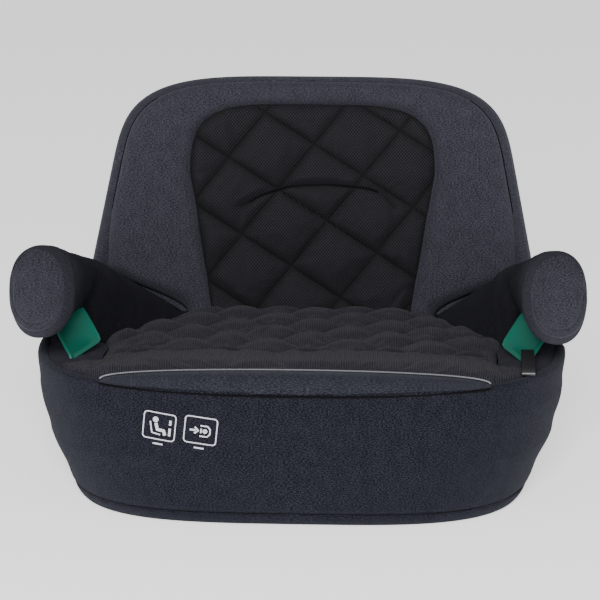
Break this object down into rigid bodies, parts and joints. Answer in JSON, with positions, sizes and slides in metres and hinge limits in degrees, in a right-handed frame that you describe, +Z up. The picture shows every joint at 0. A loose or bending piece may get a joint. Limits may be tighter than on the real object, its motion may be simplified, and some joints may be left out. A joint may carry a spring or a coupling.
{
  "type": "child booster seat",
  "caption": "Child's low-back booster seat with padded armrests, coloured lap-belt guides and a sliding rigid-anchor carriage with latching connectors under the base.",
  "frame": {"origin": "centre of the footprint at floor level, under the middle of the base", "axes": "+X towards the armrest with the webbing loop, across the seat; +Y towards the backrest; +Z up"},
  "size_m": [0.4398, 0.3971, 0.282],
  "materials": {
    "heather_fabric": "heathered woven polyester, matte",
    "mesh_fabric": "three-dimensional spacer mesh, matte",
    "rib_knit": "fine ribbed knit, matte",
    "black_plastic": "moulded polypropylene, fine texture",
    "green_plastic": "glossy emerald moulding",
    "grey_foam": "polyurethane foam",
    "zinc_steel": "zinc plated",
    "foot_rubber": "soft anti-slip pad",
    "piping": "light grey corded piping",
    "red_plastic": "signal-coloured moulding"
  },
  "bodies": {
    "seat": {"base_shell": "black_plastic", "base_tray": "black_plastic", "tray_screw_1": "zinc_steel", "tray_screw_2": "zinc_steel", "tray_screw_3": "zinc_steel", "tray_screw_4": "zinc_steel", "tray_screw_5": "zinc_steel", "tray_screw_6": "zinc_steel", "foot_front_left": "foot_rubber", "foot_front_right": "foot_rubber", "foot_rear_left": "foot_rubber", "foot_rear_right": "foot_rubber", "armrest_core_left": "black_plastic", "armrest_core_right": "black_plastic", "armrest_sleeve_left": "heather_fabric", "armrest_sleeve_right": "heather_fabric", "armrest_cap_left": "heather_fabric", "armrest_cap_right": "heather_fabric", "armrest_screw_left": "zinc_steel", "armrest_screw_right": "zinc_steel", "belt_guide_left": "green_plastic", "belt_guide_right": "green_plastic", "seat_cover": "rib_knit", "seat_foam": "grey_foam", "front_lip": "heather_fabric", "lip_piping": "piping", "front_apron": "heather_fabric", "hem_band": "heather_fabric", "side_panel_left": "heather_fabric", "side_panel_right": "heather_fabric", "cover_hook_left": "black_plastic", "cover_hook_right": "black_plastic", "back_cover": "heather_fabric", "back_panel": "mesh_fabric", "back_foam": "grey_foam", "back_gusset": "heather_fabric", "back_shell": "black_plastic", "pull_loop": "black_plastic", "lock_guide": "black_plastic", "lever_pin": "zinc_steel", "lock_spring": "zinc_steel"},
    "carriage": {"carriage_bar": "zinc_steel", "lock_rack": "black_plastic", "anchor_tube_left": "zinc_steel", "anchor_tube_right": "zinc_steel", "connector_left": "black_plastic", "connector_right": "black_plastic", "hook_pin_left": "zinc_steel", "hook_pin_right": "zinc_steel"},
    "left_hook": {"latch_hook_left": "zinc_steel"},
    "right_hook": {"latch_hook_right": "zinc_steel"},
    "left_slider": {"release_slider_left": "red_plastic"},
    "right_slider": {"release_slider_right": "red_plastic"},
    "lever": {"adjust_lever": "black_plastic"},
    "bolt": {"lock_bolt": "zinc_steel"}
  },
  "joints": [
    {"name": "anchor_slide", "type": "slide", "parent": "seat", "child": "carriage", "axis": [0, 1, 0], "range_m": [0, 0.09]},
    {"name": "left_hook_swing", "type": "hinge", "parent": "carriage", "child": "left_hook", "pos_m": [-0.14, 0.146, 0.0345], "axis": [1, 0, 0], "range_deg": [0, 25], "stiffness_Nm_per_rad": 0.15, "springref_deg": -11.46},
    {"name": "right_hook_swing", "type": "hinge", "parent": "carriage", "child": "right_hook", "pos_m": [0.14, 0.146, 0.0345], "axis": [1, 0, 0], "range_deg": [0, 25], "stiffness_Nm_per_rad": 0.15, "springref_deg": -11.46},
    {"name": "left_release", "type": "slide", "parent": "carriage", "child": "left_slider", "axis": [0, -1, 0], "range_m": [0, 0.006]},
    {"name": "right_release", "type": "slide", "parent": "carriage", "child": "right_slider", "axis": [0, -1, 0], "range_m": [0, 0.006]},
    {"name": "lever_swing", "type": "hinge", "parent": "seat", "child": "lever", "pos_m": [0, -0.04, 0.034], "axis": [-1, 0, 0], "range_deg": [0, 9], "stiffness_Nm_per_rad": 0.6, "springref_deg": -11.46},
    {"name": "bolt_lift", "type": "slide", "parent": "seat", "child": "bolt", "axis": [0, 0, 1], "range_m": [0, 0.0025], "deforming": ["lock_spring"]}
  ],
  "couplings": [
    {"joint": "left_release", "follows": "left_hook_swing", "m_per_rad": 0.013522},
    {"joint": "right_release", "follows": "right_hook_swing", "m_per_rad": 0.013522},
    {"joint": "bolt_lift", "follows": "lever_swing", "m_per_rad": 0.015}
  ]
}
